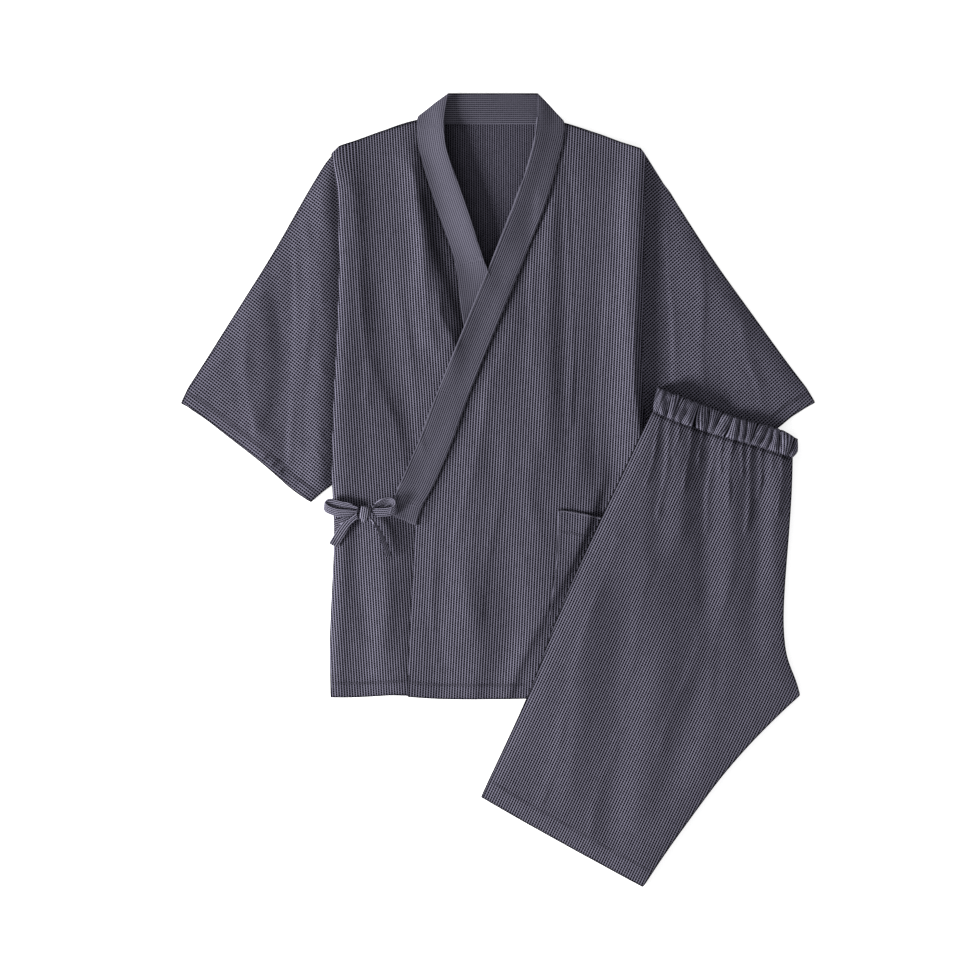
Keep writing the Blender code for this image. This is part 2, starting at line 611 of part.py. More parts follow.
def make_shorts():
    """The folded shorts: the hidden layers as one solid, and the leg panel that shows."""
    across = shares(12)
    along = shares(22)
    rows = patch(SHORTS_HEM, SHORTS_WAIST, SHORTS_SIDE, SHORTS_CROTCH, across, along)
    under = [[z + 0.25 if z > 0.5 else z for z in row] for row in resting_heights(rows, 21.0)]
    depth = HIDDEN_LAYERS * LAYER_PITCH
    over = [[z + depth for z in row] for row in under]
    rim = []
    for layer in range(HIDDEN_LAYERS):
        rim.append(((layer + 0.5) / HIDDEN_LAYERS, 0.0))
        if layer < HIDDEN_LAYERS - 1:
            rim.append(((layer + 1) / HIDDEN_LAYERS, -1.1))
    slab("shorts_hidden_layers", "shorts", rows, under, over, rim, 0.8)

    across = shares(20)
    along = shares(24, SHORTS_HEM_BAND / 560, (SHORTS_HEM_BAND + 2) / 560)
    rows = patch(SHORTS_HEM, SHORTS_WAIST, SHORTS_SIDE, SHORTS_CROTCH, across, along)
    heights = resting_heights(rows, 11.0)
    for j, v in enumerate(along):
        for i, u in enumerate(across):
            place = rows[j][i]
            ease = edge_ease(u, 12, 220) * edge_ease(1 - u, 16, 220) * edge_ease(v, 10, 560)
            ease *= 0.6 + 0.4 * edge_ease(1 - v, 20, 560)
            gather = 0.8 * (1 + math.cos(math.tau * GATHERS * 0.5 * u)) * math.exp(-9 * (1 - v))
            heights[j][i] += ease * max(0, SHORTS_LOFT + fold_height(SHORTS_FOLDS, place.x, place.y) + gather)
    turned = [(j, i) for j in range(len(along)) for i in range(len(across))
              if along[j] <= SHORTS_HEM_BAND / 560 + 1e-6]
    sheet("shorts_upper_leg", "shorts", rows, heights, turned=turned)


def make_waistband():
    """The elastic waistband, drawn into uneven gathers that run from one of its seams to the other.

    It is as thick as the folded layers beside it, so its top stays level past the end of the leg.
    """
    across = shares(GATHERS * 5)
    along = shares(6, 0.08, 0.92)
    rows = patch(WAIST_LOW, WAIST_TOP, WAIST_LEFT, WAIST_RIGHT, across, along)
    under = resting_heights(rows, 6.0, passes=3)
    over = []
    for j, v in enumerate(along):
        line = []
        for i, u in enumerate(across):
            phase = GATHERS * u + 0.30 * math.sin(9 * u) + 0.14 * math.sin(31 * u)
            phase += 0.5 * (v - 0.5) * math.sin(23 * u)
            tube = abs(math.cos(math.pi * phase)) ** 0.6
            size = 4.4 + 0.9 * math.sin(7.3 * math.floor(phase + 0.5))
            crown = edge_ease(v + 0.08, 7, 28) * edge_ease(1.08 - v, 7, 28)
            ends = edge_ease(u, 6, 185) * edge_ease(1 - u, 6, 185)
            level = max(under[j][i], under[0][i] - 0.6 - WAIST_DROP * v ** 1.6)
            line.append(level + 1.6 + (0.9 + size * tube) * (0.2 + 0.8 * crown) * (0.35 + 0.65 * ends))
        over.append(line)
    slab("shorts_waistband", "shorts", rows, under, over, [(0.28, 0.2), (0.5, -0.9), (0.74, 0.3)], 0.9)


def centre_the_set():
    """Puts the middle of the whole set's footprint at the origin."""
    points = [p for thing in parts.objects for p in solid_points(thing)]
    middle_x = (min(p.x for p in points) + max(p.x for p in points)) / 2000
    middle_y = (min(p.y for p in points) + max(p.y for p in points)) / 2000
    for thing in parts.objects:
        for vert in thing.data.vertices:
            vert.co.x -= middle_x
            vert.co.y -= middle_y


clear_scene()
make_back()
make_sleeve("left", UNDERARM_LEFT, SLEEVE_TOP_LEFT, CUFF_LEFT, ARMHOLE_LEFT, SLEEVE_LEFT_FOLDS, 0)
make_sleeve("right", UNDERARM_RIGHT, SLEEVE_TOP_RIGHT, ARMHOLE_RIGHT, CUFF_RIGHT, SLEEVE_RIGHT_FOLDS, 1)
make_back_collar()
make_front("jacket_right_front", RIGHT_FRONT_HEM, RIGHT_FRONT_TOP, SIDE_LEFT, RIGHT_FRONT_EDGE,
           shares(12, 0.022, 0.05), RIGHT_FRONT_FOLDS, 0, 0.15, 1.0)
make_collar("collar_right", [(90, -47), (118, -32)], [(-105, 484), (-64, 515)], RIGHT_COLLAR_SEAM,
            RIGHT_COLLAR_FREE, 26, 1)
make_front("jacket_left_front", LEFT_FRONT_HEM, LEFT_FRONT_TOP, LEFT_FRONT_EDGE, SIDE_RIGHT,
           shares(17, 0.978, 0.95), LEFT_FRONT_FOLDS, 1, 0.3, 7.0)
make_collar("collar_left", [(-142, -32), (-106, -47)], [(51, 515), (86, 478)], LEFT_COLLAR_FREE,
            LEFT_COLLAR_SEAM, 40, 0)
make_pocket()

tie_side = make_ribbon("tie_side", TIE_SIDE, 8)
tie_collar = make_ribbon("tie_collar", TIE_COLLAR, 6)
remember(tie_side)
remember(tie_collar)
loop_left = make_ribbon("bow_loop_left", LOOP_LEFT, 24)
loop_right = make_ribbon("bow_loop_right", LOOP_RIGHT, 22)
make_knot()
remember(loop_left)
remember(loop_right)
make_ribbon("bow_tail_left", TAIL_LEFT, 10)
make_ribbon("bow_tail_right", TAIL_RIGHT, 10)

make_shorts()
make_waistband()
centre_the_set()
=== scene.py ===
import math
import bpy
import bmesh
import numpy as np
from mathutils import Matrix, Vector
from mathutils.bvhtree import BVHTree
from mathutils.kdtree import KDTree


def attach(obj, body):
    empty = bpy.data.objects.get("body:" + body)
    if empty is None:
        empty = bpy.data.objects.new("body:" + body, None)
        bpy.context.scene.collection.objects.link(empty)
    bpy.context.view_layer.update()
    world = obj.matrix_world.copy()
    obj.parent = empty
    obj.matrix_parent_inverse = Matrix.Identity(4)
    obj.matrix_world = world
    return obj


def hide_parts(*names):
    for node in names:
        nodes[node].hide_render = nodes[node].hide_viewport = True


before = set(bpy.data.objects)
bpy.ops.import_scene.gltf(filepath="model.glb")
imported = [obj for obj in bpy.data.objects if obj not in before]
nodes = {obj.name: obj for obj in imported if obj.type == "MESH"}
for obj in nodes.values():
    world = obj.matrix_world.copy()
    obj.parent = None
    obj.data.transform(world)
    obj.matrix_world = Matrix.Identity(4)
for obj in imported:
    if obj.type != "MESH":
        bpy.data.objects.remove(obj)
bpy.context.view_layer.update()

print("frame loaded:", len(nodes), "nodes")


def clearSelection():
    for thing in bpy.context.selected_objects:
        thing.select_set(False)


def makeActive(thing):
    clearSelection()
    thing.select_set(True)
    bpy.context.view_layer.objects.active = thing


def softStep(t):
    t = np.clip(t, 0.0, 1.0)
    return t * t * (3 - 2 * t)


def lengthOf(line):
    return sum(math.dist(a, b) for a, b in zip(line, line[1:]))


def pointAlong(line, run):
    for (x1, y1), (x2, y2) in zip(line, line[1:]):
        length = math.hypot(x2 - x1, y2 - y1)
        if run <= length:
            return x1 + (x2 - x1) * run / length, y1 + (y2 - y1) * run / length
        run -= length
    return line[-1]


def alongLine(line, x, y):  # distance from a line of points, and distance along it
    best = np.full(x.shape, 1e9)
    off = np.zeros(x.shape)
    run = np.zeros(x.shape)
    done = 0.0
    last = len(line) - 2
    for n, ((x1, y1), (x2, y2)) in enumerate(zip(line, line[1:])):
        dx, dy = x2 - x1, y2 - y1
        length = math.hypot(dx, dy)
        along = ((x - x1) * dx + (y - y1) * dy) / length
        low = -1e9 if n == 0 else 0
        high = 1e9 if n == last else length
        held = np.clip(along, low, high)
        side = ((x - x1) * dy - (y - y1) * dx) / length
        away = np.hypot(side, along - held)
        near = away < best
        best = np.where(near, away, best)
        off = np.where(near, np.sign(side) * away, off)
        run = np.where(near, done + held, run)
        done += length
    return off, run


def creaseField(x, y, creases):  # height in metres of a table of soft creases, all sizes in mm
    total = np.zeros_like(x)
    for x1, y1, x2, y2, breadth, rise, lean in creases:
        dx, dy = x2 - x1, y2 - y1
        length = math.hypot(dx, dy)
        along = ((x - x1) * dx + (y - y1) * dy) / length
        across = ((x - x1) * dy - (y - y1) * dx) / length
        share = np.clip(along / length, 0, 1)
        across = across + 0.16 * breadth * np.sin(5.3 * share + x1 * 0.05)  # the crest wanders a little
        past = np.maximum(0, np.maximum(-along, along - length))
        side = np.where(across * lean > 0, 0.62, 1.25) if lean else 1.0  # steeper on one side
        away = np.hypot(across / (0.5 * breadth * side), past / (0.8 * breadth))
        total += 1.35 * rise * (0.75 + 0.25 * np.sin(9 * share + y1)) * np.exp(-2 * away ** 2)
    return total / 1000


def clothGroup(name, inputs, outputs):
    group = bpy.data.node_groups.new(name, "ShaderNodeTree")
    for label, kind, value in inputs:
        socket = group.interface.new_socket(name=label, in_out="INPUT", socket_type=kind)
        if value is not None:
            socket.default_value = value
    for label, kind in outputs:
        group.interface.new_socket(name=label, in_out="OUTPUT", socket_type=kind)
    return group, group.nodes.new("NodeGroupInput"), group.nodes.new("NodeGroupOutput")


def mathNode(tree, operation, first, second=None, third=None, clamp=False):
    node = tree.nodes.new("ShaderNodeMath")
    node.operation = operation
    node.use_clamp = clamp
    for place, value in enumerate((first, second, third)):
        if value is None:
            continue
        if isinstance(value, (int, float)):
            node.inputs[place].default_value = value
        else:
            tree.links.new(value, node.inputs[place])
    return node.outputs[0]


def noiseOn(tree, vector, scale, detail=2.0, roughness=0.5):
    node = tree.nodes.new("ShaderNodeTexNoise")
    node.inputs["Scale"].default_value = scale
    node.inputs["Detail"].default_value = detail
    node.inputs["Roughness"].default_value = roughness
    tree.links.new(vector, node.inputs["Vector"])
    return node.outputs["Fac"]


def stretched(tree, vector, scale):
    node = tree.nodes.new("ShaderNodeMapping")
    node.inputs["Scale"].default_value = scale
    tree.links.new(vector, node.inputs["Vector"])
    return node.outputs["Vector"]


def buildWeave():
    group, source, out = clothGroup("ribbedWeave", [
        ("Cloth", "NodeSocketVector", None),
        ("Rib Pitch", "NodeSocketFloat", 0.0034),
        ("Cross Pitch", "NodeSocketFloat", 0.0030),
        ("Rib Share", "NodeSocketFloat", 0.4),
        ("Bridge", "NodeSocketFloat", 0.45),
        ("Wander", "NodeSocketFloat", 0.0012),
        ("Streak", "NodeSocketFloat", 0.6),
        ("Row Shift", "NodeSocketFloat", 0.1),
    ], [("Ridge", "NodeSocketFloat"), ("Height", "NodeSocketFloat"), ("Tone", "NodeSocketFloat")])
    split = group.nodes.new("ShaderNodeSeparateXYZ")
    group.links.new(source.outputs["Cloth"], split.inputs[0])
    drift = noiseOn(group, stretched(group, source.outputs["Cloth"], (26, 9, 1)), 1.0, 2.0)
    drift = mathNode(group, "MULTIPLY", mathNode(group, "SUBTRACT", drift, 0.5), source.outputs["Wander"])
    across = mathNode(group, "ADD", split.outputs["X"], drift)
    ribTurn = mathNode(group, "DIVIDE", across, source.outputs["Rib Pitch"])
    wave = mathNode(group, "COSINE", mathNode(group, "MULTIPLY", ribTurn, math.tau))
    wave = mathNode(group, "MULTIPLY_ADD", wave, 0.5, 0.5)
    edge = mathNode(group, "SUBTRACT", 1.0, source.outputs["Rib Share"])  # the flat top's share of the pitch
    rib = mathNode(group, "MULTIPLY_ADD", mathNode(group, "SUBTRACT", wave, edge), 3.2, 0.5, clamp=True)
    crossTurn = mathNode(group, "DIVIDE", split.outputs["Y"], source.outputs["Cross Pitch"])
    rowShift = mathNode(group, "MULTIPLY", mathNode(group, "FLOOR", ribTurn), source.outputs["Row Shift"])
    crossTurn = mathNode(group, "ADD", crossTurn, rowShift)
    cross = mathNode(group, "COSINE", mathNode(group, "MULTIPLY", crossTurn, math.tau))
    cross = mathNode(group, "POWER", mathNode(group, "MULTIPLY_ADD", cross, 0.5, 0.5), 2.4)
    bridge = mathNode(group, "MULTIPLY", cross, source.outputs["Bridge"])
    shadedGroove = mathNode(group, "SUBTRACT", 1.0, rib)
    threads = noiseOn(group, stretched(group, source.outputs["Cloth"], (420, 95, 1)), 1.0, 2.0, 0.6)
    streak = mathNode(group, "MULTIPLY", mathNode(group, "SUBTRACT", threads, 0.5), source.outputs["Streak"])
    lit = mathNode(group, "MULTIPLY", rib, mathNode(group, "ADD", 1.0, streak))
    ridge = mathNode(group, "MULTIPLY_ADD", shadedGroove, bridge, lit, clamp=True)
    height = mathNode(group, "MULTIPLY_ADD", shadedGroove, bridge, rib)
    broad = noiseOn(group, source.outputs["Cloth"], 9.0, 3.0, 0.55)
    group.links.new(ridge, out.inputs["Ridge"])
    group.links.new(height, out.inputs["Height"])
    group.links.new(broad, out.inputs["Tone"])
    return group


weave = buildWeave()


def clothMaterial(name, look):
    material = bpy.data.materials.new(name)
    material.use_nodes = True
    tree = material.node_tree
    shader = tree.nodes["Principled BSDF"]
    shader.inputs["Roughness"].default_value = look["rough"]
    shader.inputs["Specular IOR Level"].default_value = look["gloss"]
    shader.inputs["Sheen Weight"].default_value = look["sheen"]
    shader.inputs["Sheen Roughness"].default_value = 0.55
    mapped = tree.nodes.new("ShaderNodeUVMap")
    mapped.uv_map = "cloth"
    weaveNode = tree.nodes.new("ShaderNodeGroup")
    weaveNode.node_tree = weave
    tree.links.new(mapped.outputs["UV"], weaveNode.inputs["Cloth"])
    weaveNode.inputs["Rib Pitch"].default_value = look["ribPitch"]
    weaveNode.inputs["Cross Pitch"].default_value = look["crossPitch"]
    weaveNode.inputs["Rib Share"].default_value = look["ribShare"]
    weaveNode.inputs["Bridge"].default_value = look["bridge"]
    weaveNode.inputs["Wander"].default_value = look["wander"]
    weaveNode.inputs["Streak"].default_value = look["streak"]
    weaveNode.inputs["Row Shift"].default_value = look["rowShift"]
    # the grooves get a darker copy of the ridges' colour: painted shade in the recesses between the ribs
    colour = tree.nodes.new("ShaderNodeMix")
    colour.data_type = "RGBA"
    colour.inputs["A"].default_value = (*look["shadedGroove"], 1)
    colour.inputs["B"].default_value = (*look["ridge"], 1)
    tree.links.new(weaveNode.outputs["Ridge"], colour.inputs["Factor"])
    mottleAndShade = mathNode(tree, "MULTIPLY_ADD", weaveNode.outputs["Tone"], 2 * look["mottle"], 1 - look["mottle"])
    paintedShade = tree.nodes.new("ShaderNodeAttribute")
    paintedShade.attribute_name = "shade"
    mottleAndShade = mathNode(tree, "MULTIPLY", mottleAndShade, paintedShade.outputs["Fac"])  # random mottle times painted shade in folds, gaps, pinches and turned edges, darker seams, and painted light where colour is gained
    mottledAndShaded = tree.nodes.new("ShaderNodeMix")
    mottledAndShaded.data_type = "RGBA"
    mottledAndShaded.blend_type = "MULTIPLY"
    mottledAndShaded.inputs["Factor"].default_value = 1
    tree.links.new(colour.outputs["Result"], mottledAndShaded.inputs["A"])
    tree.links.new(mottleAndShade, mottledAndShaded.inputs["B"])
    tree.links.new(mottledAndShaded.outputs["Result"], shader.inputs["Base Color"])
    bump = tree.nodes.new("ShaderNodeBump")
    bump.inputs["Strength"].default_value = look["relief"]
    bump.inputs["Distance"].default_value = 0.0014
    tree.links.new(weaveNode.outputs["Height"], bump.inputs["Height"])
    tree.links.new(bump.outputs["Normal"], shader.inputs["Normal"])
    return material


# pitches and wander in metres, shares of one, colours of the grooves and the ridges, and the relief's
# strength; the grooves' darker colour is painted shade in the recesses
clothLook = {"rough": 0.88, "gloss": 0.03, "sheen": 0.0, "ribPitch": 0.00344, "crossPitch": 0.0030,
             "ribShare": 0.27, "bridge": 0.38, "wander": 0.0016, "streak": 1.3, "rowShift": 0.37,
             "shadedGroove": (0.0008, 0.0006, 0.0016), "ridge": (0.210, 0.200, 0.270), "mottle": 0.08, "relief": 1.0}
collarLook = {**clothLook, "ribPitch": 0.0026, "crossPitch": 0.0024, "ribShare": 0.5, "relief": 0.35,
              "streak": 0.5, "bridge": 0.42, "rowShift": 0.0, "shadedGroove": (0.006, 0.0055, 0.010),
              "ridge": (0.120, 0.115, 0.151)}
materials = {
    "body": clothMaterial("jacketCloth", clothLook),
    "sleeve": clothMaterial("sleeveCloth", {**clothLook, "crossPitch": 0.0034, "bridge": 0.56, "rowShift": 0.0,
                                            "wander": 0.0010, "ridge": (0.202, 0.192, 0.260)}),
    "shorts": clothMaterial("shortsCloth", {**clothLook, "ribPitch": 0.0033, "crossPitch": 0.0033,
                                            "bridge": 0.42, "streak": 0.8, "wander": 0.0012, "rowShift": 0.12,
                                            "ridge": (0.204, 0.194, 0.261)}),
    "collar": clothMaterial("collarCloth", collarLook),
    # lighter grooves than the collar cloth: painted light, for the under collar that tilts towards the light;
    # the pocket's top edge uses it too
    "underCollar": clothMaterial("underCollarCloth", {**collarLook, "streak": 0.4,
                                                      "shadedGroove": (0.034, 0.032, 0.047),
                                                      "ridge": (0.122, 0.117, 0.152)}),
    "tie": clothMaterial("tieCloth", {**clothLook, "ribPitch": 0.0028, "ribShare": 0.34, "relief": 0.6,
                                      "streak": 0.9, "wander": 0.0002, "bridge": 0.24,
                                      "shadedGroove": (0.004, 0.0035, 0.007), "ridge": (0.262, 0.250, 0.330)}),
    "band": clothMaterial("waistbandCloth", {**clothLook, "ribPitch": 0.0026, "crossPitch": 0.0026,
                                             "bridge": 0.4, "streak": 0.8, "wander": 0.0010, "rowShift": 0.0,
                                             "ribShare": 0.4, "shadedGroove": (0.004, 0.0035, 0.007),
                                             "ridge": (0.226, 0.216, 0.288)}),
    "inside": clothMaterial("insideCloth", {**clothLook, "ribPitch": 0.0030, "shadedGroove": (0.012, 0.011, 0.017),
                                            "ridge": (0.142, 0.135, 0.182)}),
}
print("materials ready")


photo = {"metresPerPixel": 0.0013, "pixels": 980, "centre": (-0.0104, 0.0), "lens": 200.0, "sensor": 36.0}
frameWidth = photo["pixels"] * photo["metresPerPixel"]
eyeHeight = frameWidth * photo["lens"] / photo["sensor"]
bpy.ops.object.camera_add(location=(photo["centre"][0], photo["centre"][1], eyeHeight), rotation=(0, 0, 0))
camera = bpy.context.object
camera.data.lens = photo["lens"]
camera.data.sensor_width = photo["sensor"]
camera.data.clip_end = 40
bpy.context.scene.camera = camera

clearSelection()
bpy.ops.mesh.primitive_plane_add(size=14, location=(0, 0, -0.0004))
floor = bpy.context.object
floor.name = "floor"
floorMaterial = bpy.data.materials.new("paleFloor")
floorMaterial.use_nodes = True
floorShader = floorMaterial.node_tree.nodes["Principled BSDF"]
floorShader.inputs["Base Color"].default_value = (0.96, 0.96, 0.96, 1)
floorShader.inputs["Roughness"].default_value = 0.95
floorShader.inputs["Specular IOR Level"].default_value = 0.0
floorShader.inputs["Emission Color"].default_value = (1, 1, 1, 1)
floorShader.inputs["Emission Strength"].default_value = 0.66  # lit from below, as a light table is
floor.data.materials.append(floorMaterial)

light = {"sky": 0.42, "key": 640.0, "keySize": 1.7, "keyPlace": (-4.9, -1.5, 2.7),
         "fill": 5.0, "fillSize": 2.5, "fillPlace": (2.0, -1.5, 2.2)}
world = bpy.data.worlds.new("studio")
bpy.context.scene.world = world
world.use_nodes = True
world.node_tree.nodes["Background"].inputs["Color"].default_value = (1, 1, 1, 1)
world.node_tree.nodes["Background"].inputs["Strength"].default_value = light["sky"]
for name, power, size, place in (("key", light["key"], light["keySize"], light["keyPlace"]),
                                 ("fill", light["fill"], light["fillSize"], light["fillPlace"])):
    bpy.ops.object.light_add(type="AREA", location=place)
    lamp = bpy.context.object
    lamp.name = name + "Light"
    lamp.data.size = size
    lamp.data.energy = power
    lamp.rotation_euler = (Vector((0, 0, 0)) - Vector(place)).to_track_quat("-Z", "Y").to_euler()
bpy.context.scene.view_settings.view_transform = "Standard"
print("camera, floor and light ready")


collarSeamRight = [  # x, y in mm, from the lower end to the neck
    (90, -47), (83, -22), (73, -4), (44, 61), (25, 117), (-10, 156), (-42, 199), (-55, 292), (-69, 334),
    (-86, 384), (-101, 434), (-107, 471), (-105, 484),
]
collarSeamLeft = [
    (-106, -47), (-100, -23), (-88, -4), (-60, 61), (-40, 117), (34, 300), (44, 326), (55, 351), (64, 378),
    (73, 411), (82, 445), (86, 461), (86, 478),
]
waistLine = [(201, 103), (225, 91), (265, 77), (296, 68), (332, 58), (364, 48), (382, 42)]  # the band's seam
jacketCreases = [  # both ends, breadth and rise in mm, and the side that is steeper
    (-112, 410, -84, 190, 16, 1.6, 1),
    (-128, 250, -96, 60, 18, 1.0, -1),
    (-178, 300, -172, 120, 20, 1.1, 1),
    (-160, 160, -120, 30, 22, 1.2, 0),
    (-178, -60, -174, -236, 30, -1.9, 0),
    (-152, -60, -148, -200, 22, 0.9, 1),
    (52, 380, 40, 170, 18, 1.3, 1),
    (92, 390, 96, 90, 16, 1.3, -1),
    (140, 300, 136, 20, 24, 1.2, 1),
    (170, 410, 168, 130, 14, 0.7, -1),
    (-10, 150, -52, -60, 18, 1.2, 1),
    (10, 60, -20, -160, 22, 1.1, -1),
    (-86, -60, -80, -240, 18, 1.2, 1),
    (40, 40, 50, -60, 26, 1.3, 0),
    (-106, 350, -94, 205, 38, 4.2, 1),
    (-78, 250, -62, 196, 20, 2.2, -1),
    (130, 0, 18, -262, 32, 3.2, -1),
    (-136, -80, -134, -250, 30, -1.2, 0),
    (-72, -110, -78, -262, 34, -1.8, 0),
    (-34, -120, -30, -262, 40, 1.8, 0),
]
sleeveCreases = [
    (-262, 320, -268, 40, 16, 1.5, 1),
    (-330, 200, -318, 80, 20, 1.3, 1),
    (-286, 300, -292, 90, 36, -2.2, 0),
    (-250, 330, -254, 60, 36, 3.2, -1),
    (-330, 230, -330, 90, 30, 1.2, 1),
    (-304, 36, -296, 49, 5, 0.8, 1),
    (-293, 27, -285, 41, 5, 0.9, -1),
    (-283, 19, -274, 33, 5, 0.8, 1),
    (-266, 6, -257, 20, 5, 0.6, -1),
    (222, 330, 228, 100, 16, 1.4, 1),
    (262, 300, 270, 120, 18, 1.3, -1),
    (318, 210, 340, 110, 20, 1.3, 1),
]
shortsCreases = [
    (212, 98, 192, 10, 9, 1.7, 1),
    (224, 92, 208, -30, 11, 2.0, 1),
    (236, 86, 229, 48, 7, 1.5, -1),
    (251, 82, 243, 4, 9, 1.8, -1),
    (264, 76, 260, 36, 7, 1.5, 1),
    (279, 72, 270, -50, 12, 1.9, 1),
    (291, 68, 288, 26, 7, 1.6, -1),
    (304, 64, 297, -20, 10, 1.7, -1),
    (317, 61, 315, 22, 7, 1.5, 1),
    (329, 57, 321, -50, 12, 1.8, 1),
    (343, 52, 339, -6, 8, 1.6, -1),
    (355, 48, 352, 16, 7, 1.5, 1),
    (368, 44, 364, -30, 9, 1.5, 1),
    (150, -60, 96, -250, 22, 1.1, 1),
    (200, -100, 160, -260, 26, 0.9, -1),
    (260, -190, 214, -330, 24, 1.0, 1),
    (300, -120, 270, -270, 22, 0.8, -1),
    (150, -320, 120, -440, 22, 0.8, 1),
    (90, -290, 60, -400, 18, 1.0, -1),
]


def shortsShare(x, y):  # how far a place lies in under the shorts, where the jacket's creases die out
    side = (x - 156) - (y - 10) * 0.47
    return softStep((side + 10) / 40) * softStep((110 - y) / 30)


def jacketField(x, y):
    fromMiddle = np.abs(x + 8)  # the jacket's middle line is at x = -8
    sleeves = creaseField(x, y, sleeveCreases) * softStep((fromMiddle - 208) / 14)
    body = creaseField(x, y, jacketCreases) * (1 - shortsShare(x, y)) * softStep((209 - fromMiddle) / 12)
    return body + sleeves


def shortsField(x, y):
    return creaseField(x, y, shortsCreases)


def underCollarField(x, y):  # the under collar's free edge stands up where nothing lies on it
    off, _ = alongLine(collarSeamRight, x, y)
    return 0.0065 * softStep(np.abs(off) / 42) * softStep((y - 225) / 90) * softStep((520 - y) / 60)


gathers = {"tubes": 15, "length": 193, "breadth": 28, "tubeWidth": 13, "roundness": 0.45, "rise": 0.0019,
           "wrinkle": 0.00035, "bulge": 1.7, "outward": (0.319, 0.948)}  # mm, rise and wrinkle in metres


def gatherTurn(x, y):  # which tube of the gathered elastic a place lies on, and how far through it
    off, run = alongLine(waistLine, x, y)
    share = run / gathers["length"]
    turn = gathers["tubes"] * share + 0.30 * np.sin(9 * share) + 0.14 * np.sin(31 * share)
    return turn + 0.5 * (np.abs(off) / gathers["breadth"] - 0.5) * np.sin(23 * share)


def tubeRound(turn):  # one at the top of a tube, nought in the pinch beside it
    return np.abs(np.cos(math.pi * turn)) ** gathers["roundness"]


def gatherField(x, y):  # tight rounded tubes across the elastic, with sharp pinches between them
    off, run = alongLine(waistLine, x, y)
    wrinkle = gathers["wrinkle"] * np.sin(2.1 * run + 0.12 * off) * np.sin(0.7 * run + 2)
    return gathers["rise"] * (tubeRound(gatherTurn(x, y)) - 0.72) + wrinkle


shoulder = {"start": 385, "widened": 4.2,  # mm, and the lines past which no cloth stands out
            "corners": [(188.5, 439.4, 192.7, 434.2), (192.7, 434.2, 212.2, 403.0),
                        (-216.8, 436.8, -208.6, 444.6)]}


def roundShoulders(name, x, y):  # the shoulder's corners are rounded into the sleeves' top edges
    if name in ("rightFront", "backPanel"):
        x = x - shoulder["widened"] * softStep((y - shoulder["start"]) / 50) * softStep((-180 - x) / 25)
    for x1, y1, x2, y2 in shoulder["corners"]:
        dx, dy = x2 - x1, y2 - y1
        length = math.hypot(dx, dy)
        out = np.maximum(((y - y1) * dx - (x - x1) * dy) / length, 0) * softStep((y - shoulder["start"]) / 15)
        x, y = x + out * dy / length, y - out * dx / length
    return x, y


paintedEdgeShade = {"least": 0.1, "breadth": 3.0, "steep": 0.35}  # how dark and how broad (mm) the painted shade along the turned edges is


def outlineShade(name, x, y, facing):  # painted shade: the turned edge of each piece that ends on the floor is darker, where it turns away from the light
    frontEnds = (y < -240) | (y > 432)  # the hem and the shoulder
    kept = {"rightFront": frontEnds, "leftFront": frontEnds, "backCollar": y > 495}
    spots = np.flatnonzero((np.abs(facing) < paintedEdgeShade["steep"]) & kept.get(name, True))
    tree = KDTree(len(spots))
    for n in spots:
        tree.insert((x[n], y[n], 0), n)
    tree.balance()
    away = np.array([tree.find((px, py, 0))[2] for px, py in zip(x, y)])
    return paintedEdgeShade["least"] + (1 - paintedEdgeShade["least"]) * softStep(away / paintedEdgeShade["breadth"])


def lineShade(lines, x, y):  # how much colour is left: darker beside stitched seams, painted shade in deep folds, gaps and beside raised edges, and painted light where the loss is below nought
    left = np.ones_like(x)
    for breadth, depth, line in lines:
        off, run = alongLine(line, x, y)
        length = lengthOf(line)
        ends = softStep((run + 3) / (3 + breadth)) * softStep((length + 3 - run) / (3 + breadth))
        left *= 1 - depth * ends * np.exp(-2 * (2 * off / breadth) ** 2)
    return left


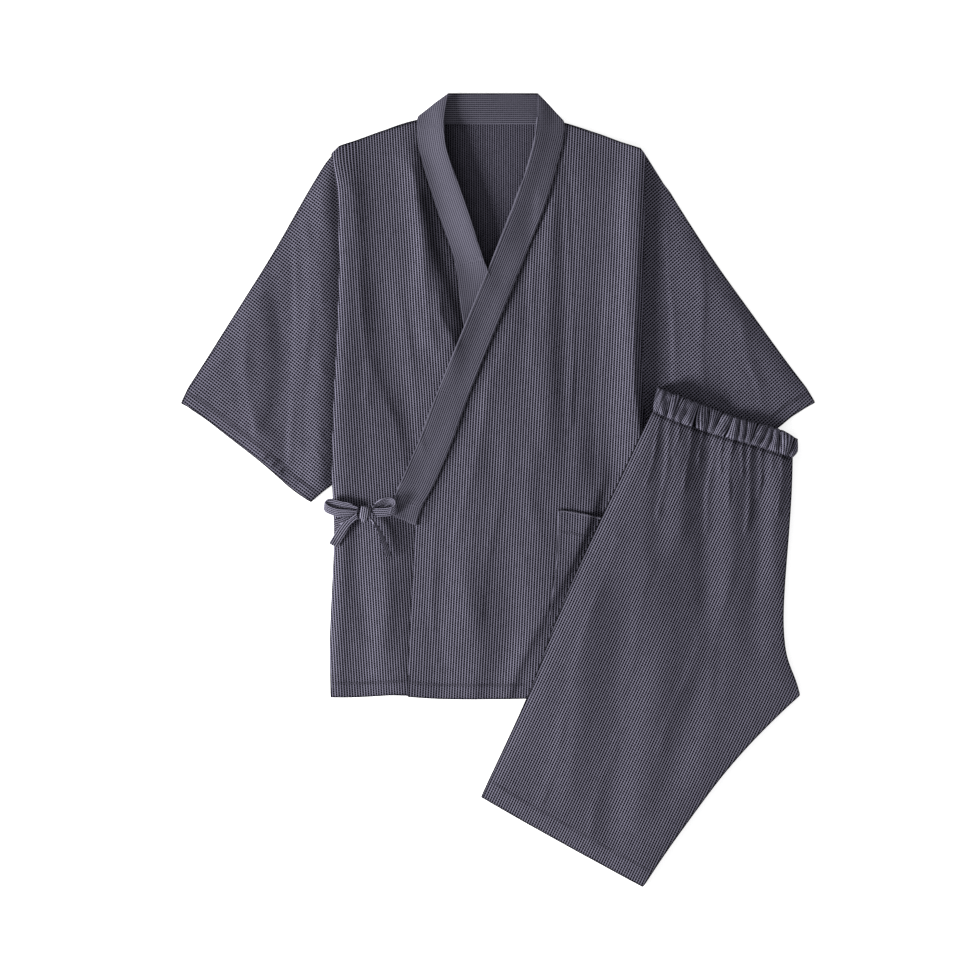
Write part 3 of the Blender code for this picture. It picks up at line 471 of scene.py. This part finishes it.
ribbonRails = {  # x, y, z of the edge on the cloth, then of the edge that stands up, in mm
    "tie_side": [
        (-213, -55, 0.6, -213, -38, 0.8), (-205, -51, 0.8, -204, -37, 1.2), (-196, -45, 0.8, -196, -35, 1.4),
        (-186, -40, 0.8, -186, -31, 1.6), (-178, -38, 0.8, -178, -30, 1.6),
    ],
    "tie_collar": [
        (-134, -19, 0.8, -131, -9, 1.2), (-145, -25, 0.8, -144, -15, 1.4), (-155, -28, 0.8, -155, -19, 1.6),
        (-166, -31, 0.8, -166, -22, 1.6),
    ],
    "bow_loop_left": [
        (-181.5, -27.5, 1, -181.5, -22.5, 7), (-190, -26, 0.8, -190, -18.5, 8.5),
        (-200, -25, 0.8, -201, -15.5, 9.3), (-210, -22.5, 0.8, -211, -12.6, 9.8),
        (-217.5, -20.5, 0.8, -218, -11.6, 10), (-222.5, -20.5, 0.8, -222.5, -13.5, 10),
        (-226.5, -23, 0.8, -223.6, -16.6, 9.6), (-225.2, -27.5, 0.8, -220.5, -20, 9.2),
        (-219, -31.5, 0.8, -214, -23.6, 8.6), (-209, -34.6, 0.8, -207, -25.6, 8.2),
        (-198, -35.2, 0.8, -197, -26.2, 7.8), (-189, -34.4, 1, -188, -26.4, 7.2),
        (-182.5, -32.8, 1.2, -182, -26, 6.4),
    ],
    "bow_loop_right": [
        (-163.2, -27.5, 1, -162.8, -21.5, 7), (-158, -24, 0.8, -157.5, -16.5, 8.6),
        (-151, -20.5, 0.8, -150.5, -12, 9.6), (-144, -18.6, 0.8, -143.5, -9.4, 10),
        (-138.5, -18.8, 0.8, -138, -10.2, 10), (-134, -21.5, 0.8, -133.8, -14, 10),
        (-130.4, -26, 0.8, -133.4, -18.6, 9.4), (-132.5, -30.8, 0.8, -137, -21.4, 8.6),
        (-140, -34.2, 0.8, -142, -22.8, 8), (-149, -35, 0.8, -150, -23.6, 7.6),
        (-157, -34.6, 1, -157.5, -24.4, 7), (-162.5, -33, 1.2, -162.4, -25.2, 6.2),
    ],
    "bow_tail_left": [
        (-183.5, -30.5, 8.2, -181.5, -36.5, 6.4), (-190, -33.6, 6.6, -186, -40.5, 4.4),
        (-197.5, -39, 4.2, -190.5, -46, 2.8), (-205, -47.5, 2.6, -195.8, -54, 1.8),
        (-211.5, -56.5, 1.8, -201, -63, 1.2), (-219.4, -69.8, 2.2, -209, -75.4, 1.2),
    ],
    "bow_tail_right": [
        (-163.5, -38, 1.6, -166.5, -36.4, 5.5), (-157, -45.5, 0.8, -161, -44, 8.2),
        (-150.6, -56, 0.8, -156.2, -54, 8.8), (-145.2, -67, 0.8, -151.6, -67, 8.2),
        (-140.4, -79, 0.8, -147.6, -79.5, 6.6), (-137.8, -88, 0.8, -146, -87, 4.4),
    ],
}


def clothCoordinates(grain, x, y):  # across and along the ribs, in mm
    if grain == "gathers":
        return gatherTurn(x, y) * gathers["tubeWidth"], alongLine(waistLine, x, y)[0]
    if isinstance(grain, list):
        return alongLine(grain, x, y)
    turn = math.radians(grain)
    return x * math.cos(turn) + y * math.sin(turn), -x * math.sin(turn) + y * math.cos(turn)


def ribbonCoordinates(rails, x, y, z):  # across and along a ribbon, from the nearest place on it
    between, across = 10, 9  # rows from one pair of points to the next, and places in each row
    rows = []
    for first, second in zip(rails, rails[1:]):
        for step in range(between):
            rows.append(np.array(first) * (1 - step / between) + np.array(second) * step / between)
    rows = np.array(rows + [np.array(rails[-1])])
    middle = (rows[:, :3] + rows[:, 3:]) / 2
    run = np.concatenate([[0], np.cumsum(np.linalg.norm(np.diff(middle, axis=0), axis=1))])
    width = np.linalg.norm(rows[:, 3:] - rows[:, :3], axis=1)
    shares = np.linspace(0, 1, across)
    spots = rows[:, None, :3] * (1 - shares)[None, :, None] + rows[:, None, 3:] * shares[None, :, None]
    spots = spots.reshape(-1, 3)
    spots[:, 2] += z.min() + 0.7 - spots[:, 2].min()  # in the middle of the ribbon's wall
    best = np.full(x.shape, 1e9)
    chosen = np.zeros(x.shape, np.int64)
    for n, spot in enumerate(spots):
        away = (x - spot[0]) ** 2 + (y - spot[1]) ** 2 + (z - spot[2]) ** 2
        nearer = away < best
        best[nearer] = away[nearer]
        chosen[nearer] = n
    step, share = chosen // across, shares[chosen % across]
    return (share - 0.5) * width[step], run[step]


clothPieces = [  # node, piece, finish, grain (degrees, or a line that the ribs follow), levels, creases
    ("jacket_back", "backPanel", "inside", 0.0, 4, ""),
    ("sleeve_left_lower", "leftSleeveUnder", "sleeve", 53.0, 1, ""),
    ("sleeve_right_lower", "rightSleeveUnder", "sleeve", -49.0, 1, ""),
    ("sleeve_left_upper", "leftSleeve", "sleeve", 53.0, 3, "jacket"),
    ("sleeve_right_upper", "rightSleeve", "sleeve", -49.0, 3, "jacket"),
    ("collar_back", "backCollar", "collar", 90.0, 2, ""),
    ("jacket_right_front", "rightFront", "body", 3.5, 3, "jacket"),
    ("collar_right", "rightCollar", "underCollar", collarSeamRight, 2, "jacket collar"),
    ("jacket_left_front", "leftFront", "body", -2.8, 3, "jacket"),
    ("collar_left", "leftCollar", "collar", collarSeamLeft, 2, "jacket"),
    ("pocket", "patchPocket", "body", -2.0, 3, "jacket"),
    ("shorts_hidden_layers", "shortsFoldedLayers", "shorts", -25.3, 2, "jacket"),
    ("shorts_upper_leg", "shortsLeg", "shorts", -25.3, 3, "jacket shorts"),
    ("shorts_waistband", "shortsWaistband", "band", "gathers", 2, "jacket shorts gathers"),
    ("bow_knot", "bowKnot", "tie", -9.0, 3, "jacket"),
    ("tie_side", "sideTie", "tie", None, 2, "jacket"),
    ("tie_collar", "collarTie", "tie", None, 2, "jacket"),
    ("bow_loop_left", "leftLoop", "tie", None, 2, "jacket"),
    ("bow_loop_right", "rightLoop", "tie", None, 2, "jacket"),
    ("bow_tail_left", "leftTail", "tie", None, 2, "jacket"),
    ("bow_tail_right", "rightTail", "tie", None, 2, "jacket"),
]
seamLines = {  # the rows of stitches that show, as runs of x, y in mm
    "rightFrontHem": [(-213, -251), (-179, -251), (-121, -248)],
    "leftFrontHem": [(-113, -250), (-74, -253), (17, -253), (36, -252)],
    "leftCuff": [(-401, 125), (-385, 116), (-337, 79), (-297, 48), (-259, 14), (-236, -2)],
    "rightCuff": [(354, 93), (373, 110), (402, 126)],
    "pocketWelt": [(80, -54), (88, -55), (118, -60)],
    "pocketSide": [(80.5, -30), (79.6, -47), (79.4, -79), (72.6, -136), (70, -152)],
    "shortsHem": [(-7, -379), (41, -408), (120, -452), (197, -494)],
}
seamsAndPaintedShade = {  # breadth in mm, how much is lost (or gained, below nought), and the line of each seam or fold; the losses beside folds, gaps and raised edges are painted shade, the gains painted light
    # painted light: these gain colour, lifting the bow loop's shadow on the collar and lightening the right
    # tail
    "leftCollar": [(18, -3.4, [(-125, -2), (-120, -18)])],
    "rightTail": [(16, -0.5, [(-165, -36), (-141, -90)])],
    # painted shadow inside the V-neck, beside the under collar's raised edge and at the V's bottom
    "backPanel": [(44, 0.62, [(-76, 510), (-66, 430), (-50, 370), (-32, 310), (0, 210)]),
                  (60, 0.8, [(-34, 196), (0, 312)])],
    "rightFront": [(4.6, 0.5, seamLines["rightFrontHem"]),
                   (4, 0.85, [(-107, -48), (-109, -140), (-114, -266)]),
                   (24, 0.62, [(-102, 400), (-84, 318), (-64, 264), (-40, 196)])],
    "leftFront": [(18, 0.35, [(-98, -47), (-88, -18), (-56, 58), (-36, 114), (38, 298), (48, 326), (60, 351)]),
                  (4.6, 0.5, seamLines["leftFrontHem"]),
                  (4, 0.8, [(78, -26), (86, -25.5), (110, -30), (134, -35)]),
                  (3, 0.5, [(77.6, -30), (76.6, -79), (72, -112), (66, -162)])],
    "leftSleeve": [(6, 0.5, seamLines["leftCuff"]), (6, 0.7, [(-305, 37), (-299, 46)]),
                   (6, 0.7, [(-294, 28), (-288, 38)]), (6, 0.65, [(-284, 20), (-278, 30)]),
                   (24, 0.5, [(-214, 430), (-208, 300), (-210, 180), (-213, -4)])],
    "rightSleeve": [(6, 0.5, seamLines["rightCuff"])],
    "patchPocket": [(4, 0.55, seamLines["pocketWelt"]), (3, 0.35, seamLines["pocketSide"])],
    "shortsLeg": [(4.6, 0.42, seamLines["shortsHem"]),
                  (5, 0.75, [(200, 100), (225, 88), (265, 74), (296, 65), (332, 55), (364, 45), (382, 39)])],
}
outlined = ("leftSleeve", "rightSleeve", "rightFront", "leftFront", "shortsLeg", "backCollar")
sharpness = {"bow_knot": 0.0, "jacket_back": 1.0}  # of the walls' edges, 0.85 on all the other pieces
cloth = {}


def shellFrom(node, name, levels, sharp):  # a copy of a CAD solid as clean quads, made a soft shell
    shell = nodes[node].copy()
    shell.data = nodes[node].data.copy()
    for key in list(shell.keys()):  # what the frame noted on the CAD node isn't taken along
        del shell[key]
    shell.parent = None
    shell.name = name
    shell.data.name = name
    shell.data.materials.clear()
    bpy.context.scene.collection.objects.link(shell)
    bm = bmesh.new()
    bm.from_mesh(shell.data)
    bmesh.ops.remove_doubles(bm, verts=bm.verts, dist=2e-6)
    bmesh.ops.join_triangles(bm, faces=bm.faces, angle_face_threshold=0.75, angle_shape_threshold=2.6)
    crease = bm.edges.layers.float.new("crease_edge")
    for edge in bm.edges:
        if len(edge.link_faces) == 2 and edge.calc_face_angle() > 0.9:
            edge[crease] = sharp
    bm.to_mesh(shell.data)
    bm.free()
    makeActive(shell)
    soft = shell.modifiers.new("soft", "SUBSURF")
    soft.levels = levels
    soft.render_levels = levels
    bpy.ops.object.modifier_apply(modifier="soft")
    return shell


for node, name, finish, grain, levels, creases in clothPieces:
    shell = shellFrom(node, name, levels, sharpness.get(node, 0.85))
    mesh = shell.data
    count = len(mesh.vertices)
    places = np.zeros(count * 3)
    mesh.vertices.foreach_get("co", places)
    places = places.reshape(-1, 3)
    x, y = places[:, 0] * 1000, places[:, 1] * 1000
    if node in ribbonRails:
        across, along = ribbonCoordinates(ribbonRails[node], x, y, places[:, 2] * 1000)
    else:
        across, along = clothCoordinates(grain, x, y)
    rounded = roundShoulders(name, x, y)
    places[:, 0], places[:, 1] = rounded[0] / 1000, rounded[1] / 1000
    if "jacket" in creases:
        places[:, 2] += jacketField(x, y)
    if "shorts" in creases:
        places[:, 2] += shortsField(x, y)
    if "collar" in creases:
        places[:, 2] += underCollarField(x, y)
    facing = np.zeros(count * 3)
    mesh.vertices.foreach_get("normal", facing)
    facing = facing.reshape(-1, 3)[:, 2]
    shade = lineShade(seamsAndPaintedShade.get(name, []), x, y)
    if name in outlined:
        shade *= outlineShade(name, x, y, facing)
    elif finish != "tie":
        # painted shade on steep sides and rims, which turn away from the light
        shade *= 0.3 + 0.7 * softStep((np.abs(facing) - 0.1) / 0.7)
    if "gathers" in creases:
        places[:, 2] += gatherField(x, y) * softStep(facing / 0.4)
        turn = gatherTurn(x, y)
        # painted shade in the pinches between the tubes
        shade *= 0.06 + 0.94 * softStep(np.abs(np.cos(math.pi * turn)) / 0.4)
        fromMiddle = np.clip(-alongLine(waistLine, x, y)[0] / 17 - 1, -1, 1)
        bulge = gathers["bulge"] * (tubeRound(turn) - 0.62) * fromMiddle  # tubes end past their pinches
        places[:, 0] += gathers["outward"][0] * bulge / 1000
        places[:, 1] += gathers["outward"][1] * bulge / 1000
        # painted shade along finer creases between the tubes, which the shape doesn't hold
        paintedCreases = np.abs(np.sin(math.pi * (2 * turn + 0.3 * np.sin(5 * turn))))
        shade *= 0.62 + 0.38 * softStep(paintedCreases / 0.3)
    mesh.vertices.foreach_set("co", places.ravel())
    corners = np.zeros(len(mesh.loops), np.int64)
    mesh.loops.foreach_get("vertex_index", corners)
    uvLayer = mesh.uv_layers.new(name="cloth")
    uvs = np.stack([across[corners], along[corners]], axis=1) / 1000
    uvLayer.data.foreach_set("uv", uvs.ravel())
    mesh.attributes.new("shade", "FLOAT", "POINT").data.foreach_set("value", shade)
    mesh.materials.append(materials[finish])
    mesh.update()
    makeActive(shell)
    bpy.ops.object.shade_smooth()
    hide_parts(node)
    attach(shell, "root")
    cloth[name] = shell
print("cloth pieces:", len(cloth), "with", sum(len(piece.data.polygons) for piece in cloth.values()), "faces")


sheetCuts = {  # held, width, length and area of the cut of what shows (metres), and what it lies on
    "backPanel": ("laid", 0.44, 0.78, 0.29, []),
    "leftSleeveUnder": ("laid", 0.22, 0.41, 0.056, []),
    "rightSleeveUnder": ("laid", 0.22, 0.41, 0.057, []),
    "leftSleeve": ("laid", 0.22, 0.41, 0.057, ["leftSleeveUnder"]),
    "rightSleeve": ("laid", 0.22, 0.41, 0.058, ["rightSleeveUnder"]),
    "backCollar": ("folded", 0.14, 0.042, None, ["backPanel"]),
    "rightFront": ("laid", 0.32, 0.76, 0.165, ["backPanel", "leftSleeve"]),
    "rightCollar": ("folded", 0.042, 0.6, None, ["backPanel"]),
    "leftFront": ("laid", 0.35, 0.76, 0.172, ["rightFront", "rightSleeve"]),
    "leftCollar": ("folded", 0.04, 0.6, None, ["rightFront", "rightCollar"]),
    "patchPocket": ("laid", 0.112, 0.166, 0.0162, ["leftFront"]),
    "shortsFoldedLayers": ("folded", 0.32, 0.62, 0.152, ["leftFront"]),
    "shortsLeg": ("folded", 0.32, 0.62, 0.15, ["shortsFoldedLayers"]),
    "shortsWaistband": ("gathered", 0.26, 0.034, None, ["shortsLeg", "rightSleeve"]),
    "bowKnot": ("folded", 0.0125, 0.04, None, ["sideTie", "collarTie"]),
    "sideTie": ("laid", 0.0125, 0.036, None, ["rightFront"]),
    "collarTie": ("laid", 0.0105, 0.036, None, ["rightFront"]),
    "leftLoop": ("folded", 0.011, 0.10, None, ["sideTie"]),
    "rightLoop": ("folded", 0.011, 0.085, None, ["collarTie"]),
    "leftTail": ("laid", 0.0115, 0.058, None, ["leftLoop", "rightFront"]),
    "rightTail": ("laid", 0.0105, 0.056, None, ["rightFront"]),
}
for name, (held, width, length, area, under) in sheetCuts.items():
    shown = sum(polygon.area for polygon in cloth[name].data.polygons) / 2
    print("sheet", name, round(shown, 5), "of the box", round(shown / (width * length), 2))

sewing = {"length": 2.7, "thick": 0.55, "pitch": 3.7}  # one stitch, mm
threadMaterial = bpy.data.materials.new("sewingThread")
threadMaterial.use_nodes = True
threadShader = threadMaterial.node_tree.nodes["Principled BSDF"]
threadShader.inputs["Base Color"].default_value = (0.150, 0.143, 0.190, 1)
threadShader.inputs["Roughness"].default_value = 0.7
threadShader.inputs["Specular IOR Level"].default_value = 0.1

clearSelection()
bpy.ops.mesh.primitive_uv_sphere_add(segments=8, ring_count=6, radius=0.5)
stitch = bpy.context.object
stitch.name = "stitchPattern"
stitch.scale = (sewing["length"] / 1000, sewing["thick"] / 1000, sewing["thick"] / 1000)
bpy.ops.object.transform_apply(location=False, rotation=False, scale=True)
bpy.ops.object.shade_smooth()
stitch.data.materials.append(threadMaterial)

surfaces = []
for piece in cloth.values():
    bm = bmesh.new()
    bm.from_mesh(piece.data)
    surfaces.append(BVHTree.FromBMesh(bm))
    bm.free()


def surfaceAt(x, y):  # the highest cloth under a place, metres
    hits = [tree.ray_cast(Vector((x, y, 0.3)), Vector((0, 0, -1)))[0] for tree in surfaces]
    return max((hit.z for hit in hits if hit is not None), default=0.0)


foldedEdges = {  # width in mm, the finish, and the line that each follows
    "overCollarEdge": (1.9, "collar", [(-140, -30), (-131.5, -4), (-102.6, 61), (-81.6, 117), (-12.6, 285),
                                       (5.4, 329), (21.4, 370), (38.4, 417), (47.4, 450), (51.4, 484)]),
    "pocketTopEdge": (1.4, "underCollar", [(80, -28), (86, -27.5), (110, -32), (134, -37)]),
    "pocketSideEdge": (1.1, "collar", [(79, -29), (78.2, -47), (78.2, -79), (74.5, -112), (71, -138),
                                       (68, -162)]),
}
for name, (width, finish, line) in foldedEdges.items():
    clearSelection()
    bpy.ops.curve.primitive_bezier_curve_add()
    edge = bpy.context.object
    edge.data.splines.clear()
    path = edge.data.splines.new("POLY")
    length = lengthOf(line)
    count = int(length / 4)
    path.points.add(count)
    for n, point in enumerate(path.points):
        px, py = pointAlong(line, length * n / count)
        point.co = (px / 1000, py / 1000, surfaceAt(px / 1000, py / 1000) - 0.00025, 1)
    edge.data.dimensions = "3D"
    edge.data.bevel_depth = width / 2000
    edge.data.bevel_resolution = 2
    edge.data.use_fill_caps = True
    bpy.ops.object.convert(target="MESH")
    edge = bpy.context.object
    edge.name = name
    places = np.array([vertex.co[:] for vertex in edge.data.vertices]) * 1000
    off, run = alongLine(line, places[:, 0], places[:, 1])
    corners = [loop.vertex_index for loop in edge.data.loops]
    uvLayer = edge.data.uv_layers.new(name="cloth")
    uvLayer.data.foreach_set("uv", np.stack([off[corners] * 0.3, run[corners]], axis=1).ravel() / 1000)
    edge.data.attributes.new("shade", "FLOAT", "POINT").data.foreach_set("value", np.ones(len(places)))
    edge.data.materials.clear()
    edge.data.materials.append(materials[finish])
    bpy.ops.object.shade_smooth()
    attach(edge, "root")
print("folded edges:", len(foldedEdges))

for name, line in seamLines.items():
    length = lengthOf(line)
    copies = []
    for n in range(int(length / sewing["pitch"])):
        start = n * sewing["pitch"]
        ends = []
        for run in (start, start + sewing["length"]):
            px, py = pointAlong(line, run)
            ends.append(Vector((px / 1000, py / 1000, surfaceAt(px / 1000, py / 1000) + 0.00012)))
        copy = stitch.copy()
        copy.data = stitch.data.copy()
        bpy.context.scene.collection.objects.link(copy)
        copy.location = (ends[0] + ends[1]) / 2
        copy.rotation_euler = (ends[1] - ends[0]).to_track_quat("X", "Z").to_euler()
        copies.append(copy)
    clearSelection()
    for copy in copies:
        copy.select_set(True)
    bpy.context.view_layer.objects.active = copies[0]
    bpy.ops.object.join()
    row = bpy.context.object
    row.name = name + "Stitches"
    bpy.ops.object.transform_apply(location=True, rotation=True, scale=True)
    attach(row, "root")
bpy.data.objects.remove(stitch, do_unlink=True)
print("stitch rows:", len(seamLines))
for name, piece in cloth.items():
    print("triangles", name, sum(len(polygon.vertices) - 2 for polygon in piece.data.polygons))
